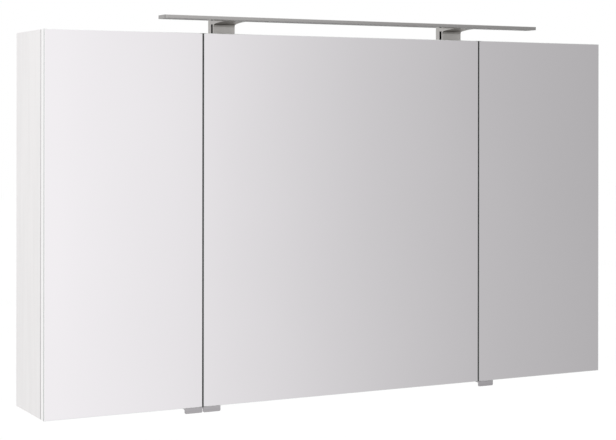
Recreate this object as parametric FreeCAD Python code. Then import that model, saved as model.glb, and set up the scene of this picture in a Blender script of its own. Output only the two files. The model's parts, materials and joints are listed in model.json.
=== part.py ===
import FreeCAD, Part
import math
import os
from FreeCAD import Vector

# Lighted mirror cabinet for a wall: a white board carcass with two partitions, three mirror doors on
# concealed two-link cup hinges, glass shelves, and a slim lamp bar carried on two cast brackets.
# Millimetres. X runs along the cabinet, Y into the wall, Z up. The origin is on the wall plane, at the
# middle of the carcass's lower rear edge, so the doors face -Y.

# Carcass
cabinet_width = 1200.0
cabinet_height = 682.0
carcass_depth = 144.0
panel_thickness = 16.0
side_bay_width = 300.0        # cabinet end to the middle of a partition
back_thickness = 3.0
back_recess = 16.0            # back panel to the wall
groove_depth = 8.0
groove_play = 0.1

# Panel joints: fluted dowels, glued in
dowel_radius = 4.0
dowel_in_face = 10.0
dowel_in_edge = 20.0
dowel_setback = 34.0
peg_sides = 6                 # flutes of a dowel, and flats of a pressed-in peg
joint_play = 0.05
hole_end_play = 0.5

# Shelves
shelf_thickness = 5.0
shelf_rows = 2
shelf_end_play = 1.0
shelf_front_setback = 24.0
shelf_back_play = 2.0
support_width = 10.0
support_drop = 10.0
support_reach = 8.0
support_metal = 1.5
support_peg_radius = 2.5
support_peg_length = 6.5
support_peg_drop = 5.5        # below the shelf
support_inset = 24.0          # from the shelf's front and back edges

# Doors
door_gap = 2.0                # carcass to door board
door_board = 16.0
mirror_thickness = 3.0
mirror_bevel = 0.8
door_reveal = 2.0             # between neighbouring doors
bumper_width = 5.0
bumper_height = 12.0
bumper_play = 0.3
bumper_inset = 60.0           # from the top and bottom
pull_width = 34.0
pull_drop = 10.2
pull_lip = 3.0
pull_flange = 2.5
pull_corner = 2.5

# Hinges, seen from above: distances along the door are taken from its hinge edge, depths in the door
# from its back face, and distances on the arm from the carcass's front edge
hinge_inset = 100.0           # hinge centre from the door's top and bottom
cup_setback = 22.5
cup_radius = 17.5
cup_wall = 0.9
cup_depth = 12.0
cup_floor = 0.8
cup_sides = 24                # flats of the cup's outer wall and rim
cup_play = 0.1
cup_flange = 0.8
cup_flange_rim = 0.8
cup_ear_width = 12.0
cup_ear_offset = 9.5            # ears' middle beyond the cup's
cup_ear_reach = 28.5
cup_ear_cut = 4.0
outer_arm_pivot = (31.0, 5.0)
outer_cup_pivot = (12.7, 5.31)
outer_link_bow = (0.45, -10.0)    # place along the link, and bow to the side
inner_arm_pivot = (42.0, 4.9)
inner_cup_pivot = (16.67, 3.93)
inner_link_bow = (0.5, -3.56)
link_width = 2.6
link_eye_radius = 2.4
hinge_pin_radius = 1.0
running_play = 0.05
pin_sides = 12
inner_pin_path = (1.0, -0.9)      # line along which the open pivot's pin drifts
inner_pin_drift = (2.3, 1.3)      # backward and forward along that line
inner_pin_sway = 1.1
outer_link_height = 5.6
layer_play = 0.4                  # between neighbouring layers of the linkage
inner_cheek_height = 1.8
arm_wall = 1.4
cup_cheek_height = 1.8
cup_cheek_margin = 3.4
cup_cheek_depth = 1.5             # below the door's back face
arm_nose_radius = 2.6
arm_bend = 34.0
arm_tail = 68.0
plate_height = 5.0
plate_wing = 2.0
plate_wing_width = 12.0
plate_wing_height = 52.0
plate_corner = 4.0
plate_setback = 37.0

# Lamp bar and its brackets
lamp_length = 798.0
lamp_depth = 34.0
lamp_height = 6.3
lamp_edge_radius = 1.0
lamp_cap = 5.0
lamp_corner = 4.0            # seen from above
lamp_rise = 21.3              # underside above the cabinet's top
lamp_forward = 24.8           # rear edge in front of the mirrors
light_slot_width = 19.0
light_slot_depth = 3.6
light_slot_margin = 4.0       # front wall of the lamp
diffuser_thickness = 1.6
diffuser_play = 0.15
strip_width = 10.0
strip_thickness = 1.0
strip_end_gap = 6.0
chip_size = 3.0
chip_height = 0.6
chip_pitch = 50.0
bracket_spacing = 498.0
bracket_width = 43.0
bracket_front_leg = 4.5
bracket_slot = 5.5
bracket_slot_height = 17.5
bracket_back_leg = 14.5
bracket_plate_height = 14.4   # where the arm's hollow underside starts
bracket_bend = 0.58           # radius of the hollow's first bend, as a share of its rise
bracket_rear_radius = 2.0
tenon_width = 28.0
tenon_depth = 7.0
tenon_height = 2.6
lead_hole_radius = 4.0

# Switch box under the top panel, with the lamp's driver in it
box_width = 130.0
box_depth = 70.0
box_height = 42.0
box_wall = 2.0
box_play = 0.2
box_corner = 3.0
box_side_gap = 20.0           # from the right-hand partition
box_front_setback = 30.0
driver_length = 96.0
driver_width = 38.0
driver_height = 24.0
rocker_inset = 32.5           # from the box's left end
rocker_width = 12.6
rocker_height = 17.0
rocker_rise = 3.5
rocker_dip = 1.2
rocker_pivot_depth = 5.0
rocker_pivot_radius = 1.5
rocker_pivot_reach = 2.6
rocker_tilt = 8.0
rocker_play = 0.4
rocker_swing_play = 1.2
rocker_lug = 2.2

# Wall hangers and the cable inlet
hanger_width = 42.0
hanger_height = 56.0
hanger_drop = 24.0            # below the top panel
hanger_wall_gap = 1.5
hanger_back_gap = 0.5
hanger_peg_radius = 5.0
hanger_peg_length = 10.0
hanger_peg_spacing = 32.0
hanger_hook_thickness = 2.5
hanger_hook_width = 26.0
hanger_hook_reach = 20.0
hanger_hook_drop = 12.0
hanger_corner = 5.0
hanger_access_width = 30.0
hanger_access_height = 14.0
hanger_access_rise = 3.0      # above the housing's lower end
grommet_radius = 5.0
grommet_wall = 1.6
grommet_rim = 3.0
grommet_lip = 1.5
grommet_x = 130.0
grommet_height = 560.0

# Planes worked out from the sizes above
half_width = cabinet_width / 2
inner_x = half_width - panel_thickness
partition_x = half_width - side_bay_width
front_y = -carcass_depth
back_front_y = -back_recess - back_thickness
door_back_y = front_y - door_gap
glass_back_y = door_back_y - door_board
glass_front_y = glass_back_y - mirror_thickness
floor_z = panel_thickness
ceiling_z = cabinet_height - panel_thickness
hinge_heights = (hinge_inset, cabinet_height - hinge_inset)
lamp_rear_y = glass_front_y - lamp_forward
lamp_front_y = lamp_rear_y - lamp_depth
lamp_bottom = cabinet_height + lamp_rise
lamp_top = lamp_bottom + lamp_height

X = Vector(1, 0, 0)
Y = Vector(0, 1, 0)
Z = Vector(0, 0, 1)

nodes = {}
drillings = {}

# Each door: its span, its hinge side, and how far the face that carries its hinges lies inside its
# hinge edge
doors = {
    "left": {
        "span": (-half_width, -partition_x - door_reveal / 2),
        "hinge_side": "left",
        "face": panel_thickness,
    },
    "middle": {
        "span": (-partition_x + door_reveal / 2, partition_x - door_reveal / 2),
        "hinge_side": "right",
        "face": (panel_thickness - door_reveal) / 2,
    },
    "right": {
        "span": (partition_x + door_reveal / 2, half_width),
        "hinge_side": "right",
        "face": panel_thickness,
    },
}

# Inner width of each bay, with the panels on its left and right
bays = {
    "left": (-inner_x, -partition_x - panel_thickness / 2, "side_panel_left", "partition_left"),
    "middle": (-partition_x + panel_thickness / 2, partition_x - panel_thickness / 2,
               "partition_left", "partition_right"),
    "right": (partition_x + panel_thickness / 2, inner_x, "partition_right", "side_panel_right"),
}


# Basic shapes

def block(x, y, z):
    return Part.makeBox(x[1] - x[0], y[1] - y[0], z[1] - z[0], Vector(x[0], y[0], z[0]))


def rod(start, direction, radius, length):
    return Part.makeCylinder(radius, length, start, direction)


def prism(points, extent):
    return Part.Face(Part.makePolygon(points + points[:1])).extrude(extent)


def capsule(start, end, radius, extent):
    """A round-ended slot shape from start to end, extruded by extent."""
    along = (end - start).normalize()
    side = extent.cross(along).normalize() * radius
    outline = [
        Part.Arc(start + side, start - along * radius, start - side).toShape(),
        Part.makeLine(start - side, end - side),
        Part.Arc(end - side, end + along * radius, end + side).toShape(),
        Part.makeLine(end + side, start + side),
    ]
    return Part.Face(Part.Wire(outline)).extrude(extent)


def bow_point(start, end, bow):
    """The point of a bowed bar at a share of its length, bow to the side of the straight line."""
    along = end - start
    side = Z.cross(along).normalize()
    return start + along * bow[0] + side * bow[1]


def bowed_bar(start, end, bow, width, low, high):
    """A flat bar of constant width along the arc from start to end, between two heights."""
    middle = bow_point(start, end, bow)
    centre = Part.Arc(start, middle, end).toShape().Curve.Center

    def beside(point, shift):
        return point + (point - centre).normalize() * shift + Z * low

    outside = [beside(point, width / 2) for point in (start, middle, end)]
    inside = [beside(point, -width / 2) for point in (end, middle, start)]
    outline = [
        Part.Arc(*outside).toShape(),
        Part.makeLine(outside[2], inside[0]),
        Part.Arc(*inside).toShape(),
        Part.makeLine(inside[2], outside[0]),
    ]
    return Part.Face(Part.Wire(outline)).extrude(Z * (high - low))


def arc_about(centre, start, end):
    """The shorter arc about a centre from start to end."""
    between = (start - centre).normalize() + (end - centre).normalize()
    middle = centre + between.normalize() * (start - centre).Length
    return Part.Arc(start, middle, end).toShape()


def many_sided(start, direction, radius, length, sides):
    """A peg, pin, cup or hole along an axis with flat sides, its corners at radius."""
    first = Z if direction.isParallel(Y, 0) else Y
    across = direction.cross(first)
    turns = [2 * math.pi * (step + 0.5) / sides for step in range(sides)]
    ring = [start + (first * math.cos(turn) + across * math.sin(turn)) * radius for turn in turns]
    return prism(ring, direction * length)


def peg(start, direction, radius, length):
    return many_sided(start, direction, radius, length, peg_sides)


def add(node, *shapes):
    nodes.setdefault(node, []).extend(shapes)


def drill(node, *tools):
    drillings.setdefault(node, []).extend(tools)


# Carcass panels and their joints

def make_panels():
    full_depth = (front_y, 0)
    for side, name in ((-1, "side_panel_left"), (1, "side_panel_right")):
        span = sorted((side * inner_x, side * half_width))
        add(name, block(span, full_depth, (0, cabinet_height)))
    between = (-inner_x, inner_x)
    add("bottom_panel", block(between, full_depth, (0, floor_z)))
    add("top_panel", block(between, full_depth, (ceiling_z, cabinet_height)))
    for side, name in ((-1, "partition_left"), (1, "partition_right")):
        middle = side * partition_x
        span = (middle - panel_thickness / 2, middle + panel_thickness / 2)
        add(name, block(span, (front_y, back_front_y), (floor_z, ceiling_z)))


def make_back_panel():
    """A thin panel let into a groove all round."""
    held = groove_depth - groove_play
    span = (-inner_x - held, inner_x + held)
    height = (floor_z - held, ceiling_z + held)
    add("back_panel", block(span, (back_front_y, -back_recess), height))
    groove = block((-inner_x - groove_depth, inner_x + groove_depth),
                   (back_front_y, -back_recess),
                   (floor_z - groove_depth, ceiling_z + groove_depth))
    for name in ("side_panel_left", "side_panel_right", "bottom_panel", "top_panel"):
        drill(name, groove)


def join_panels(corner, along, face_panel, edge_panel):
    """A dowel where edge_panel's end meets face_panel.

    corner is on the meeting face, in the middle of edge_panel's thickness, and along points into
    edge_panel."""
    middle = Vector(corner.x, front_y + dowel_setback, corner.z)
    start = middle - along * dowel_in_face
    add("panel_dowels", peg(start, along, dowel_radius, dowel_in_face + dowel_in_edge))
    hole = dowel_radius + joint_play
    drill(face_panel, peg(middle, -along, hole, dowel_in_face + hole_end_play))
    drill(edge_panel, peg(middle, along, hole, dowel_in_edge + hole_end_play))


def join_carcass():
    for shelf_panel, height in (("bottom_panel", floor_z / 2),
                                ("top_panel", (ceiling_z + cabinet_height) / 2)):
        join_panels(Vector(-inner_x, 0, height), X, "side_panel_left", shelf_panel)
        join_panels(Vector(inner_x, 0, height), -X, "side_panel_right", shelf_panel)
    for partition, middle in (("partition_left", -partition_x), ("partition_right", partition_x)):
        join_panels(Vector(middle, 0, floor_z), Z, "bottom_panel", partition)
        join_panels(Vector(middle, 0, ceiling_z), -Z, "top_panel", partition)


def make_bay(name, left_x, right_x, left_panel, right_panel):
    """The glass shelves of one bay, on bent metal supports pegged into the panels."""
    front = front_y + shelf_front_setback
    rear = back_front_y - shelf_back_play
    clear_height = ceiling_z - floor_z
    for row in range(1, shelf_rows + 1):
        seat = floor_z + clear_height * row / (shelf_rows + 1)
        add("glass_shelves_" + name, block((left_x + shelf_end_play, right_x - shelf_end_play),
                                           (front, rear), (seat, seat + shelf_thickness)))
        for middle_y in (front + support_inset, rear - support_inset):
            for face_x, side, panel in ((left_x, 1, left_panel), (right_x, -1, right_panel)):
                add_support(Vector(face_x, middle_y, seat), side, panel)


def add_support(seat, side, panel):
    """An angle of flat metal with a peg behind it. The shelf lies on its upper face."""
    outline = [(0, 0), (support_reach, 0), (support_reach, -support_metal), (support_metal, -support_metal),
               (support_metal, -support_drop), (0, -support_drop)]
    edge = seat - Y * (support_width / 2)
    angle = prism([edge + Vector(side * x, 0, z) for x, z in outline], Y * support_width)
    root = seat - Z * support_peg_drop
    inward = -X * side
    add("shelf_supports", angle.fuse(peg(root, inward, support_peg_radius, support_peg_length)))
    drill(panel, peg(root, inward, support_peg_radius + joint_play, support_peg_length + hole_end_play))


# Hinges, drawn once from above for a left-hand door: x from the hinge edge, y from the carcass's front

def arm_point(pivot):
    return Vector(pivot[0], pivot[1], 0)


def cup_point(pivot):
    return Vector(pivot[0], -door_gap - pivot[1], 0)


outer_arm = arm_point(outer_arm_pivot)
outer_cup = cup_point(outer_cup_pivot)
inner_arm = arm_point(inner_arm_pivot)
inner_cup = cup_point(inner_cup_pivot)

# Heights of the linkage's layers above and below the hinge's middle
outer_top = outer_link_height / 2
inner_low = outer_top + layer_play
inner_top = inner_low + inner_cheek_height
arm_low = inner_top + layer_play
arm_top = arm_low + arm_wall
cup_low = arm_top + layer_play
cup_top = cup_low + cup_cheek_height


def both_sides(shape):
    return [shape, shape.mirror(Vector(0, 0, 0), Z)]


def standing_pin(point, low, high):
    return many_sided(point + Z * low, Z, hinge_pin_radius, high - low, pin_sides)


def pin_hole(point, reach):
    return many_sided(point - Z * reach, Z, hinge_pin_radius + running_play, 2 * reach, pin_sides)


def hinge_cup():
    """A drawn cup with a flange, and a pair of cheeks on its floor that hold the pins of the links."""
    mouth = Vector(cup_setback, -door_gap, 0)
    body = many_sided(mouth, -Y, cup_radius, cup_depth, cup_sides)
    lift = Y * cup_flange
    rim = many_sided(mouth, Y, cup_radius + cup_flange_rim, cup_flange, cup_sides)
    near, far = cup_ear_offset - cup_ear_width / 2, cup_ear_offset + cup_ear_width / 2
    corners = [(near, cup_ear_reach - cup_ear_cut), (near + cup_ear_cut, cup_ear_reach),
               (far - cup_ear_cut, cup_ear_reach), (far, cup_ear_reach - cup_ear_cut)]
    corners += [(x, -z) for x, z in reversed(corners)]
    ears = prism([mouth + Vector(x, 0, z) for x, z in corners], lift)
    well = rod(mouth + lift, -Y, cup_radius - cup_wall, cup_flange + cup_depth - cup_floor)
    shell = body.fuse([rim, ears]).cut(well)
    cheek_x = (outer_cup.x - cup_cheek_margin, inner_cup.x + cup_cheek_margin)
    cheek_y = (-door_gap - cup_depth + cup_floor, -door_gap - cup_cheek_depth)
    cheek = block(cheek_x, cheek_y, (cup_low, cup_top)).common(well)
    outer_pin = standing_pin(outer_cup, -cup_low, cup_low)
    inner_pins = both_sides(standing_pin(inner_cup, inner_low, cup_low))
    return [shell.fuse(both_sides(cheek) + [outer_pin] + inner_pins).removeSplitter()]


def outer_link():
    bar = bowed_bar(outer_cup, outer_arm, outer_link_bow, link_width, -outer_top, outer_top)
    eyes = [rod(point - Z * outer_top, Z, link_eye_radius, outer_link_height)
            for point in (outer_cup, outer_arm)]
    holes = [pin_hole(point, outer_link_height) for point in (outer_cup, outer_arm)]
    return [bar.fuse(eyes).cut(holes).removeSplitter()]


def inner_link():
    """A pair of cheeks. The end at the cup is open, and clears the pin over its whole travel."""
    cheek = bowed_bar(inner_cup, inner_arm, inner_link_bow, link_width, inner_low, inner_top)
    eye = rod(inner_arm + Z * inner_low, Z, link_eye_radius, inner_cheek_height)
    along = Vector(inner_pin_path[0], inner_pin_path[1], 0).normalize()
    pin_way = capsule(inner_cup - along * inner_pin_drift[0], inner_cup + along * inner_pin_drift[1],
                      hinge_pin_radius + inner_pin_sway, Z * cup_top)
    cheek = cheek.fuse(eye).cut([pin_way, pin_hole(inner_arm, cup_top)])
    return both_sides(cheek.removeSplitter())


def hinge_arm(face):
    """A cranked channel from the mounting plate to the pins of the two links, which it holds."""
    seat_x = face + plate_height
    spine_x = seat_x + arm_wall
    lower_x = face + plate_wing + layer_play
    shoulder = Vector(spine_x, arm_bend, 0)
    outward = Z.cross(shoulder - inner_arm).normalize()
    tip = inner_arm - outward * (link_eye_radius + 2 * layer_play + arm_wall)
    outline = [
        Vector(lower_x, arm_tail, 0),
        Vector(spine_x, arm_tail, 0),
        shoulder,
        tip,
        outer_arm - X * arm_nose_radius,
        Vector(lower_x, arm_bend - plate_wing_width / 2, 0),
    ]
    reach = arm_nose_radius
    cut = reach * math.tan(math.pi / 8)
    nose = [
        outer_arm + Vector(-reach, cut, 0),
        outer_arm + Vector(-reach, -cut, 0),
        outer_arm + Vector(-cut, -reach, 0),
        inner_arm + Vector(cut, -reach, 0),
        inner_arm + Vector(reach, -cut, 0),
        inner_arm + Vector(reach, cut, 0),
        inner_arm + Vector(cut, reach, 0),
        outer_arm + Vector(-cut, reach, 0),
    ]
    rise = Z * (2 * arm_top)
    channel = prism(outline, rise).fuse(prism(nose, rise))
    channel.translate(-Z * arm_top)

    crank = (tip - shoulder).normalize()
    inward = crank.cross(Z)
    web_start = shoulder + inward * arm_wall
    web_bend = web_start + crank * ((seat_x - web_start.x) / crank.x)
    web_end = web_start + crank * (2 * arm_tail)
    past = arm_tail
    hollow = prism([
        Vector(seat_x, arm_tail + past, 0),
        web_bend,
        web_end,
        Vector(seat_x - past, web_end.y, 0),
        Vector(seat_x - past, arm_tail + past, 0),
    ], Z * (2 * arm_low))
    hollow.translate(-Z * arm_low)
    pins = [standing_pin(point, -arm_low, arm_low) for point in (outer_arm, inner_arm)]
    return [channel.cut(hollow).fuse(pins).removeSplitter()]


def hinge_plate(face):
    """A winged plate on the panel, with a raised body that the arm sits on."""
    half_body = arm_low - layer_play / 2
    near, far = plate_setback - plate_wing_width / 2, plate_setback + plate_wing_width / 2
    end = plate_wing_height / 2
    corners = [(near, end - plate_corner), (near + plate_corner, end),
               (far - plate_corner, end), (far, end - plate_corner)]
    corners += [(y, -z) for y, z in reversed(corners)]
    wing = prism([Vector(face, y, z) for y, z in corners], X * plate_wing)
    body = block((face, face + plate_height), (arm_bend, arm_tail), (-half_body, half_body))
    return [wing.fuse(body).removeSplitter()]


def cup_bore():
    return rod(Vector(cup_setback, -door_gap, 0), -Y, cup_radius + cup_play, cup_depth)


def hang_door(name, door):
    """Both hinges of a door, with the bores for their cups in the door board."""
    face = door["face"]
    left_hand = door["hinge_side"] == "left"
    edge_x = door["span"][0] if left_hand else door["span"][1]

    def put(shape, height):
        turned = shape.copy() if left_hand else shape.mirror(Vector(0, 0, 0), X)
        turned.translate(Vector(edge_x, front_y, height))
        return turned

    pieces = {
        "hinge_cups_" + name: hinge_cup(),
        "outer_links_" + name: outer_link(),
        "inner_links_" + name: inner_link(),
        "hinge_arms_" + name: hinge_arm(face),
        "hinge_plates": hinge_plate(face),
    }
    for height in hinge_heights:
        for node, shapes in pieces.items():
            add(node, *[put(shape, height) for shape in shapes])
        drill("door_panel_" + name, put(cup_bore(), height))


# Doors

def make_door(name, door):
    span = door["span"]
    add("door_panel_" + name, block(span, (glass_back_y, door_back_y), (0, cabinet_height)))
    glass = block(span, (glass_front_y, glass_back_y), (0, cabinet_height))
    front_edges = [edge for edge in glass.Edges if edge.BoundBox.YMax < glass_front_y + mirror_bevel]
    add("door_mirror_" + name, glass.makeChamfer(mirror_bevel, front_edges))
    free_x = span[1] if door["hinge_side"] == "left" else span[0]
    inward = -1 if door["hinge_side"] == "left" else 1
    make_pull(name, free_x, inward)
    make_bumpers(free_x, inward)


def make_pull(name, free_x, inward):
    """A bent metal tab under the door's free corner, gripped from below."""
    span = sorted((free_x, free_x + inward * pull_width))
    flange = block(span, (glass_front_y + pull_lip, door_back_y), (-pull_flange, 0))
    lip = block(span, (glass_front_y, glass_front_y + pull_lip), (-pull_drop, 0))
    corners = [edge for edge in lip.Edges
               if edge.BoundBox.ZMax < -pull_flange and edge.BoundBox.XLength < pull_lip
               and edge.BoundBox.YLength > pull_lip / 2]
    lip = lip.makeFillet(pull_corner, corners)
    tab = lip.fuse(flange).removeSplitter()
    root = glass_front_y + pull_lip
    bend = [edge for edge in tab.Edges
            if edge.BoundBox.XLength > pull_width / 2 and abs(edge.CenterOfMass.y - root) < pull_lip / 10
            and edge.CenterOfMass.z < -pull_flange / 2 and edge.CenterOfMass.z > -pull_drop / 2]
    tab = tab.makeFillet(pull_flange, bend)
    add("door_pull_" + name, tab)


def make_bumpers(free_x, inward):
    """Soft pads on the carcass front, behind the door's free edge."""
    overlay = (panel_thickness - door_reveal) / 2
    middle = free_x + inward * overlay / 2
    for height in (bumper_inset, cabinet_height - bumper_inset):
        add("door_bumpers", block((middle - bumper_width / 2, middle + bumper_width / 2),
                                  (door_back_y + bumper_play, front_y),
                                  (height - bumper_height / 2, height + bumper_height / 2)))


# Lamp bar

def lamp_bar(start, length):
    """A length of the lamp bar's section, rounded along its four edges."""
    bar = block((start, start + length), (lamp_front_y, lamp_rear_y), (lamp_bottom, lamp_top))
    corners = [edge for edge in bar.Edges if edge.BoundBox.XLength > length / 2]
    return bar.makeFillet(lamp_edge_radius, corners)


def make_lamp():
    end = lamp_length / 2
    body_end = end - lamp_cap
    slot_y = (lamp_front_y + light_slot_margin, lamp_front_y + light_slot_margin + light_slot_width)
    slot_top = lamp_bottom + light_slot_depth
    slot = block((-body_end, body_end), slot_y, (lamp_bottom, slot_top))
    drill("lamp_housing", slot)
    add("lamp_housing", lamp_bar(-body_end, 2 * body_end))
    lens_y = (slot_y[0] + diffuser_play, slot_y[1] - diffuser_play)
    lens_z = (lamp_bottom, lamp_bottom + diffuser_thickness)
    add("lamp_diffuser", block((-body_end, body_end), lens_y, lens_z))
    make_strip(body_end - strip_end_gap, (slot_y[0] + slot_y[1]) / 2, slot_top)
    for side in (-1, 1):
        add("lamp_end_caps", lamp_end(side * end, side * body_end))


def lamp_end(outer, inner):
    """A cap with the lamp bar's section, its outer corners rounded as seen from above."""
    span = sorted((outer, inner))
    plan = block(span, (lamp_front_y, lamp_rear_y), (lamp_bottom, lamp_top))
    corners = [edge for edge in plan.Edges if edge.BoundBox.ZLength > lamp_height / 2
               and abs(edge.CenterOfMass.x - outer) < joint_play]
    return lamp_bar(span[0], lamp_cap).common(plan.makeFillet(lamp_corner, corners))


def make_strip(half_length, middle_y, ceiling):
    """The light strip: a flat circuit with a row of chips facing down."""
    board = block((-half_length, half_length), (middle_y - strip_width / 2, middle_y + strip_width / 2),
                  (ceiling - strip_thickness, ceiling))
    chips = []
    count = int(2 * half_length / chip_pitch)
    first = -chip_pitch * (count - 1) / 2
    for place in range(count):
        middle = first + place * chip_pitch
        low = ceiling - strip_thickness - chip_height
        chips.append(block((middle - chip_size / 2, middle + chip_size / 2),
                           (middle_y - chip_size / 2, middle_y + chip_size / 2),
                           (low, low + chip_height)))
    add("light_strip", board.fuse(chips))


def make_bracket(middle):
    """A casting on the top panel's front edge: two legs with a slot between them, and an arm that is
    hollow below, level with the lamp at its end, and holds the lamp by a tenon."""
    rear = front_y + bracket_front_leg + bracket_slot + bracket_back_leg
    plate_z = cabinet_height + bracket_plate_height
    slot_y = (front_y + bracket_front_leg, front_y + bracket_front_leg + bracket_slot)
    slot_z = cabinet_height + bracket_slot_height
    left = middle - bracket_width / 2

    def at(y, z):
        return Vector(left, y, z)

    straight = [
        at(lamp_rear_y, lamp_bottom),
        at(lamp_rear_y, lamp_top),
        at(rear, lamp_top),
        at(rear, cabinet_height),
        at(slot_y[1], cabinet_height),
        at(slot_y[1], slot_z),
        at(slot_y[0], slot_z),
        at(slot_y[0], cabinet_height),
        at(front_y, cabinet_height),
        at(front_y, plate_z),
    ]
    edges = [Part.makeLine(start, end) for start, end in zip(straight, straight[1:])]
    # the underside is hollow: a tight bend at the front leg, then a long sweep, level at the lamp
    rise = lamp_bottom - plate_z
    reach = front_y - lamp_rear_y
    bend = bracket_bend * rise
    sweep = (reach ** 2 - 2 * reach * bend + rise ** 2) / (2 * (rise - bend))
    bend_middle = at(front_y - bend, plate_z)
    sweep_middle = at(lamp_rear_y, lamp_bottom - sweep)
    meeting = bend_middle + (bend_middle - sweep_middle).normalize() * bend
    edges.append(arc_about(bend_middle, straight[-1], meeting))
    edges.append(arc_about(sweep_middle, meeting, straight[0]))
    casting = Part.Face(Part.Wire(edges)).extrude(X * bracket_width)
    rear_corner = [edge for edge in casting.Edges if edge.BoundBox.XLength > bracket_width / 2
                   and (edge.CenterOfMass - Vector(middle, rear, lamp_top)).Length < bracket_rear_radius]
    casting = casting.makeFillet(bracket_rear_radius, rear_corner)
    tenon = make_tenon(middle, 0)
    drill("lamp_housing", make_tenon(middle, joint_play))
    add("lamp_brackets", casting.fuse(tenon).removeSplitter())


def make_tenon(middle, play):
    """The tongue of a bracket in the lamp's rear wall, or with play its mortise."""
    half_width = tenon_width / 2 + play
    half_height = tenon_height / 2 + play
    level = (lamp_bottom + lamp_top) / 2
    return block((middle - half_width, middle + half_width), (lamp_rear_y - tenon_depth - play, lamp_rear_y),
                 (level - half_height, level + half_height))


def drill_lead_hole(middle):
    """The way for the lamp's lead, through the top panel under a bracket's rear leg."""
    leg_y = front_y + bracket_front_leg + bracket_slot + bracket_back_leg / 2
    drill("top_panel", rod(Vector(middle, leg_y, ceiling_z), Z, lead_hole_radius, panel_thickness))


# Switch box

def make_switch_box():
    """A tray under the top panel, a deep cover round it, and a rocker in the cover's front."""
    right = bays["middle"][1] - box_side_gap
    span = (right - box_width, right)
    depth = (front_y + box_front_setback, front_y + box_front_setback + box_depth)
    low = ceiling_z - box_height
    lid = box_wall + box_play

    tray = block((span[0] + lid, span[1] - lid), (depth[0] + lid, depth[1] - lid),
                 (ceiling_z - box_wall, ceiling_z))
    add("switch_box_tray", tray)
    cover = block(span, depth, (low, ceiling_z))
    upright = [edge for edge in cover.Edges if edge.BoundBox.ZLength > box_height / 2]
    cover = cover.makeFillet(box_corner, upright)
    inside = block((span[0] + box_wall, span[1] - box_wall), (depth[0] + box_wall, depth[1] - box_wall),
                   (low + box_wall, ceiling_z))
    cover = cover.cut(inside)

    middle = span[0] + rocker_inset
    height = (low + ceiling_z) / 2
    pivot = Vector(middle, depth[0] + rocker_pivot_depth, height)
    half_x = rocker_width / 2 + rocker_play
    half_z = rocker_height / 2 + rocker_swing_play
    window = block((middle - half_x, middle + half_x), (depth[0] - box_wall, depth[0] + box_wall),
                   (height - half_z, height + half_z))
    lugs = []
    for side in (-1, 1):
        lug_x = sorted((middle + side * half_x, middle + side * (half_x + rocker_lug)))
        lugs.append(block(lug_x, (depth[0] + box_wall, pivot.y + 2 * rocker_pivot_radius),
                          (height - 2 * rocker_pivot_radius, height + 2 * rocker_pivot_radius)))
    axle_reach = rocker_width / 2 + rocker_pivot_reach
    axle_hole = rod(pivot - X * axle_reach, X, rocker_pivot_radius + running_play, 2 * axle_reach)
    add("switch_box_cover", cover.fuse(lugs).cut([window, axle_hole]).removeSplitter())
    make_rocker(pivot, depth[0])

    driver_z = (ceiling_z - box_wall - driver_height, ceiling_z - box_wall)
    driver_rear = depth[1] - lid - box_wall
    driver_left = (span[0] + span[1] - driver_length) / 2
    driver = block((driver_left, driver_left + driver_length),
                   (driver_rear - driver_width, driver_rear), driver_z)
    add("lamp_driver", driver)


def make_rocker(pivot, face_y):
    """A rocker with a shallow V front, resting with its lower end pressed in."""
    half = rocker_height / 2
    left = pivot.x - rocker_width / 2
    back = pivot.y + rocker_pivot_radius
    outline = [
        Vector(left, face_y - rocker_rise, pivot.z + half),
        Vector(left, face_y - rocker_dip, pivot.z),
        Vector(left, face_y - rocker_rise, pivot.z - half),
        Vector(left, face_y, pivot.z - half),
        Vector(left, back, pivot.z - half / 2),
        Vector(left, back, pivot.z + half / 2),
        Vector(left, face_y, pivot.z + half),
    ]
    body = prism(outline, X * rocker_width)
    reach = rocker_width / 2 + rocker_pivot_reach - running_play
    axle = rod(pivot - X * reach, X, rocker_pivot_radius, 2 * reach)
    rocker = body.fuse(axle).removeSplitter()
    rocker.rotate(pivot, X, rocker_tilt)
    add("rocker_switch", rocker)


# Wall hangers and cable inlet

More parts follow.
